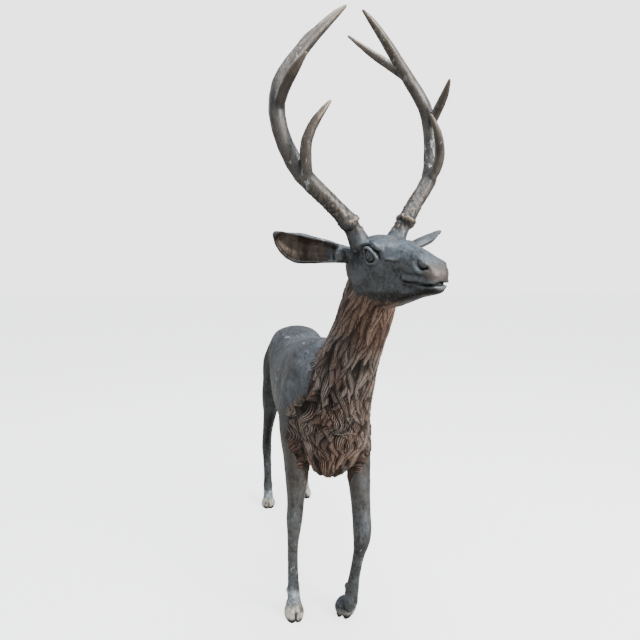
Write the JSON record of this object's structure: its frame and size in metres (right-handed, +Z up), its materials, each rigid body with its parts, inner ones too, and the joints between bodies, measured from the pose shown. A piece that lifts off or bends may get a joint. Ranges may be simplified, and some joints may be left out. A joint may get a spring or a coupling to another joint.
{
  "type": "stag sculpture",
  "caption": "Life-size cast bronze stag, standing with its head turned and the heel of one forefoot raised, with a curly mane and forked antlers.",
  "frame": {"origin": "on the ground, under the centre of the bounding box of the whole casting", "axes": "+Z up; -Y is the way the stag's body faces; +X is the stag's own left side"},
  "size_m": [0.5212, 1.4514, 1.8332],
  "materials": {
    "bronze": "weathered dark slate-brown patina, satin"
  },
  "bodies": {
    "root": {"deer": "bronze"}
  },
  "joints": []
}
